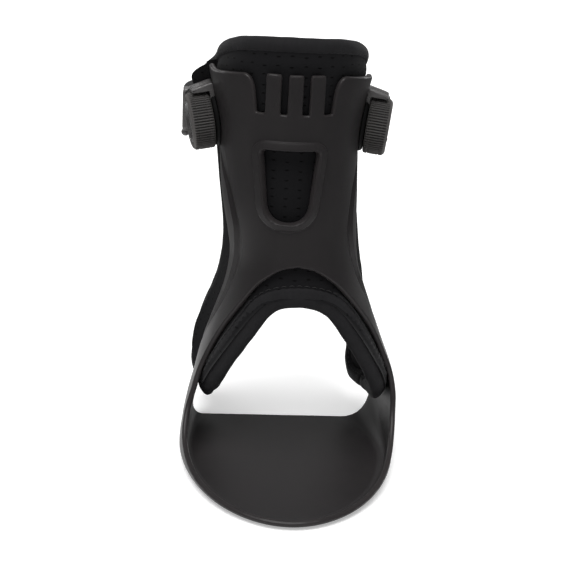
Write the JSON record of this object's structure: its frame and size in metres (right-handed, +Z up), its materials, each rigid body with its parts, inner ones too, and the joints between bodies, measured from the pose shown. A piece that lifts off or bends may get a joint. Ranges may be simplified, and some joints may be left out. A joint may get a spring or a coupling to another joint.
{
  "type": "foot drop brace",
  "caption": "Moulded shin and sole shell with an open instep, a padded liner, side lace dials and a rear strap.",
  "frame": {"origin": "middle of the sole plate's flat underside, on the surface the brace stands on", "axes": "+Z up along the shin, toes towards -Y, the rear strap towards +Y"},
  "size_m": [0.1205, 0.197, 0.2252],
  "materials": {
    "shell": "satin moulded black",
    "padding": "black perforated foam pad",
    "binding": "smooth black rolled edge",
    "housing": "semi-gloss black",
    "knob": "ribbed dark rubber",
    "dial_face": "dished semi-gloss",
    "lace": "black coated lace",
    "strap": "black woven webbing"
  },
  "bodies": {
    "root": {"shell": "shell", "liner": "padding", "top_binding": "binding", "lower_binding": "binding", "dial_base_left": "housing", "lace_outlet_left": "housing", "lace_guide_left": "housing", "lace_left_upper": "lace", "lace_left_lower": "lace", "dial_base_right": "housing", "lace_outlet_right": "housing", "lace_guide_right": "housing", "lace_right_upper": "lace", "lace_right_lower": "lace", "rear_strap": "strap"},
    "cap_left": {"dial_cap_left": "dial_face"},
    "knob_left": {"dial_knob_left": "knob"},
    "cap_right": {"dial_cap_right": "dial_face"},
    "knob_right": {"dial_knob_right": "knob"}
  },
  "joints": [
    {"name": "dial_pull_left", "type": "slide", "parent": "root", "child": "cap_left", "axis": [-0.9736, -0.1721, -0.1502], "range_m": [0, 0.002]},
    {"name": "dial_turn_left", "type": "hinge", "parent": "cap_left", "child": "knob_left", "pos_m": [-0.04186, 0.05302, 0.176], "axis": [-0.9736, -0.1721, -0.1502], "continuous": true},
    {"name": "dial_pull_right", "type": "slide", "parent": "root", "child": "cap_right", "axis": [0.98, -0.1733, -0.0978], "range_m": [0, 0.002]},
    {"name": "dial_turn_right", "type": "hinge", "parent": "cap_right", "child": "knob_right", "pos_m": [0.03393, 0.05302, 0.176], "axis": [0.98, -0.1733, -0.0978], "continuous": true}
  ]
}
